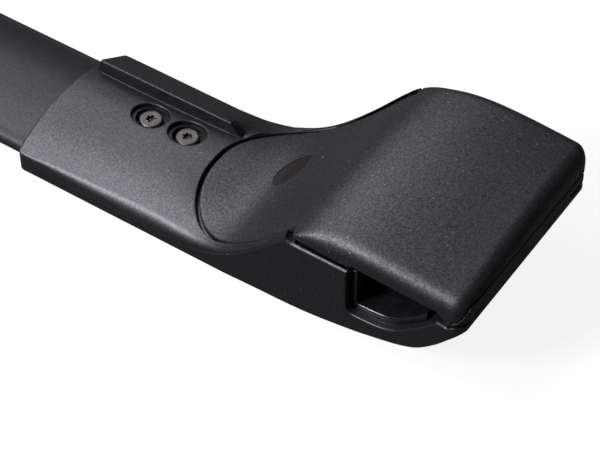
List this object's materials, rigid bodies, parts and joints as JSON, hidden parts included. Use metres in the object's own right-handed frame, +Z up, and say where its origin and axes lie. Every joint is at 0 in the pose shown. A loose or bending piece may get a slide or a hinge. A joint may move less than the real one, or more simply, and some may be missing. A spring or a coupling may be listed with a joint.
{
  "type": "roof cross bar pair",
  "caption": "Low roof cross bars for raised side rails, each a flat oval tube with a cast clamping foot under a hinged cover at either end.",
  "frame": {"origin": "middle of the pair on the ground under the flat undersides of the feet", "axes": "+X along the bars, +Y from the front bar to the rear bar, to the side of the fences, +Z up"},
  "size_m": [1.0666, 0.7009, 0.0621],
  "materials": {
    "bar_coating": "fine textured black powder coat on aluminium, satin",
    "foot_coating": "grainy black powder coat on a die casting, satin",
    "cover_plastic": "grained black moulding",
    "liner_rubber": "smooth, slightly glossy black",
    "screw_steel": "dull grey plating",
    "zinc_steel": "zinc plated",
    "pin_steel": "bright drawn",
    "spring_steel": "dark oiled spring steel",
    "jaw_metal": "as cast, lightly blasted"
  },
  "bodies": {
    "bars": {"front_bar": "bar_coating", "rear_bar": "bar_coating", "fixing_screws": "screw_steel", "nut_plates": "zinc_steel", "clamp_nuts": "zinc_steel", "cover_hinge_pins": "pin_steel", "end_support_1": "foot_coating", "rail_pad_1": "liner_rubber", "end_support_2": "foot_coating", "rail_pad_2": "liner_rubber", "end_support_3": "foot_coating", "rail_pad_3": "liner_rubber", "end_support_4": "foot_coating", "rail_pad_4": "liner_rubber"},
    "cover_1": {"cover_1": "cover_plastic"},
    "jaw_1": {"clamp_jaw_1": "jaw_metal", "jaw_pad_1": "liner_rubber"},
    "bolt_1": {"clamp_bolt_1": "zinc_steel", "clamp_washer_1": "zinc_steel", "retaining_ring_1": "spring_steel"},
    "cover_2": {"cover_2": "cover_plastic"},
    "jaw_2": {"clamp_jaw_2": "jaw_metal", "jaw_pad_2": "liner_rubber"},
    "bolt_2": {"clamp_bolt_2": "zinc_steel", "clamp_washer_2": "zinc_steel", "retaining_ring_2": "spring_steel"},
    "cover_3": {"cover_3": "cover_plastic"},
    "jaw_3": {"clamp_jaw_3": "jaw_metal", "jaw_pad_3": "liner_rubber"},
    "bolt_3": {"clamp_bolt_3": "zinc_steel", "clamp_washer_3": "zinc_steel", "retaining_ring_3": "spring_steel"},
    "cover_4": {"cover_4": "cover_plastic"},
    "jaw_4": {"clamp_jaw_4": "jaw_metal", "jaw_pad_4": "liner_rubber"},
    "bolt_4": {"clamp_bolt_4": "zinc_steel", "clamp_washer_4": "zinc_steel", "retaining_ring_4": "spring_steel"}
  },
  "joints": [
    {"name": "cover_hinge_1", "type": "hinge", "parent": "bars", "child": "cover_1", "pos_m": [0.5303, -0.3, 0.0416], "axis": [0, 1, 0], "range_deg": [0, 80]},
    {"name": "jaw_slide_1", "type": "slide", "parent": "bars", "child": "jaw_1", "axis": [0, 0, 1], "range_m": [0, 0.0025]},
    {"name": "bolt_turn_1", "type": "hinge", "parent": "jaw_1", "child": "bolt_1", "pos_m": [0.4653, -0.3, 0.047], "axis": [0, 0, 1], "range_deg": [0, 900]},
    {"name": "cover_hinge_2", "type": "hinge", "parent": "bars", "child": "cover_2", "pos_m": [-0.5303, -0.3, 0.0416], "axis": [0, -1, 0], "range_deg": [0, 80]},
    {"name": "jaw_slide_2", "type": "slide", "parent": "bars", "child": "jaw_2", "axis": [0, 0, 1], "range_m": [0, 0.0025]},
    {"name": "bolt_turn_2", "type": "hinge", "parent": "jaw_2", "child": "bolt_2", "pos_m": [-0.4653, -0.3, 0.047], "axis": [0, 0, 1], "range_deg": [0, 900]},
    {"name": "cover_hinge_3", "type": "hinge", "parent": "bars", "child": "cover_3", "pos_m": [0.5303, 0.3, 0.0416], "axis": [0, 1, 0], "range_deg": [0, 80]},
    {"name": "jaw_slide_3", "type": "slide", "parent": "bars", "child": "jaw_3", "axis": [0, 0, 1], "range_m": [0, 0.0025]},
    {"name": "bolt_turn_3", "type": "hinge", "parent": "jaw_3", "child": "bolt_3", "pos_m": [0.4653, 0.3, 0.047], "axis": [0, 0, 1], "range_deg": [0, 900]},
    {"name": "cover_hinge_4", "type": "hinge", "parent": "bars", "child": "cover_4", "pos_m": [-0.5303, 0.3, 0.0416], "axis": [0, -1, 0], "range_deg": [0, 80]},
    {"name": "jaw_slide_4", "type": "slide", "parent": "bars", "child": "jaw_4", "axis": [0, 0, 1], "range_m": [0, 0.0025]},
    {"name": "bolt_turn_4", "type": "hinge", "parent": "jaw_4", "child": "bolt_4", "pos_m": [-0.4653, 0.3, 0.047], "axis": [0, 0, 1], "range_deg": [0, 900]}
  ],
  "couplings": [
    {"joint": "bolt_turn_1", "follows": "jaw_slide_1", "rad_per_m": 6283.2},
    {"joint": "bolt_turn_2", "follows": "jaw_slide_2", "rad_per_m": 6283.2},
    {"joint": "bolt_turn_3", "follows": "jaw_slide_3", "rad_per_m": 6283.2},
    {"joint": "bolt_turn_4", "follows": "jaw_slide_4", "rad_per_m": 6283.2}
  ]
}
